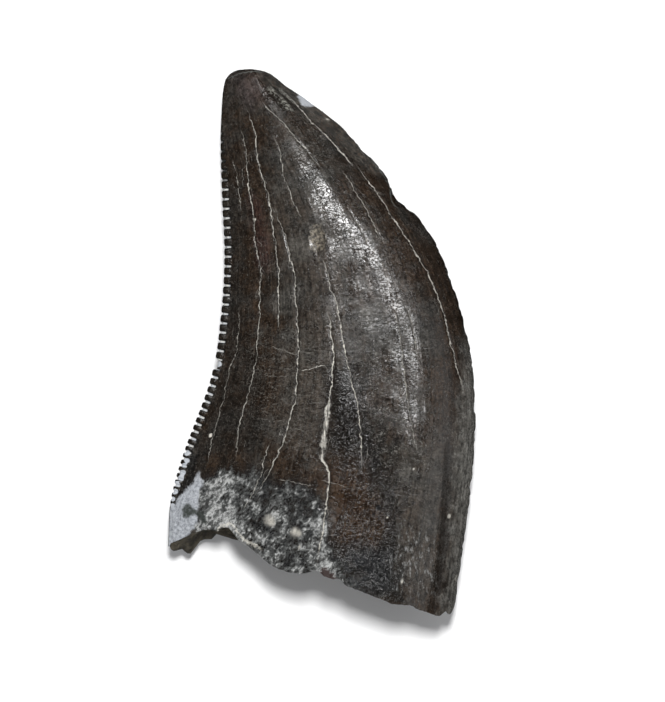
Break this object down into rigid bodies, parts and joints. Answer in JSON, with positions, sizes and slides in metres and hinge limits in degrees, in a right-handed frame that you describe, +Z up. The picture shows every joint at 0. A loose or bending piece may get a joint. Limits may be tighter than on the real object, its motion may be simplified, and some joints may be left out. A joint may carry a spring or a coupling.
{
  "type": "fossil theropod tooth",
  "caption": "Recurved fossil theropod tooth crown with a serrated distal edge, chipped mesial edge, worn tip and broken hollow base, lying on its inner side.",
  "frame": {"origin": "middle of the tooth's box, at the height of the surface that it lies on", "axes": "+Y from the broken base towards the tip, -X towards the serrated distal edge, +Z up, out of the labial side"},
  "size_m": [0.0148, 0.0262, 0.0075],
  "materials": {
    "fossil_enamel": "dull polished fossil enamel with pale infilled cracks and a weathered base"
  },
  "bodies": {
    "root": {"tooth": "fossil_enamel"}
  },
  "joints": []
}
